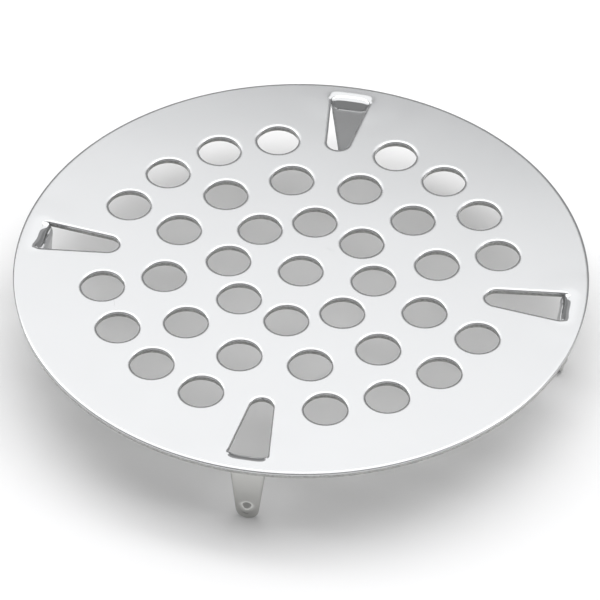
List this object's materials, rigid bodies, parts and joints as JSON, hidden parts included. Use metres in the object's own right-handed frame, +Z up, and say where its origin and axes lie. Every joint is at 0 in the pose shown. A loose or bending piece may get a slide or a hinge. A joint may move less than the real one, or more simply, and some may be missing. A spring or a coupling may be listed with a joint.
{
  "type": "floor drain strainer",
  "caption": "Flat round pierced metal strainer that drops into a floor drain and snaps in place on sprung dimpled legs folded down from the plate.",
  "frame": {"origin": "under the middle of the plate, on the plane that the four leg tips stand on", "axes": "+Z up out of the drain, square to the plate; a leg stands on each of +X, +Y, -X and -Y"},
  "size_m": [0.078, 0.078, 0.0115],
  "materials": {
    "stainless_sheet": "satin"
  },
  "bodies": {
    "plate": {"strainer_plate": "stainless_sheet"},
    "leg_right": {"leg_right": "stainless_sheet"},
    "leg_back": {"leg_back": "stainless_sheet"},
    "leg_left": {"leg_left": "stainless_sheet"},
    "leg_front": {"leg_front": "stainless_sheet"}
  },
  "joints": [
    {"name": "leg_right_flex", "type": "hinge", "parent": "plate", "child": "leg_right", "pos_m": [0.0371, 0, 0.01108], "axis": [0, 1, 0], "range_deg": [-3, 6], "stiffness_Nm_per_rad": 14},
    {"name": "leg_back_flex", "type": "hinge", "parent": "plate", "child": "leg_back", "pos_m": [0, 0.0371, 0.01108], "axis": [-1, 0, 0], "range_deg": [-3, 6], "stiffness_Nm_per_rad": 14},
    {"name": "leg_left_flex", "type": "hinge", "parent": "plate", "child": "leg_left", "pos_m": [-0.0371, 0, 0.01108], "axis": [0, -1, 0], "range_deg": [-3, 6], "stiffness_Nm_per_rad": 14},
    {"name": "leg_front_flex", "type": "hinge", "parent": "plate", "child": "leg_front", "pos_m": [0, -0.0371, 0.01108], "axis": [1, 0, 0], "range_deg": [-3, 6], "stiffness_Nm_per_rad": 14}
  ]
}
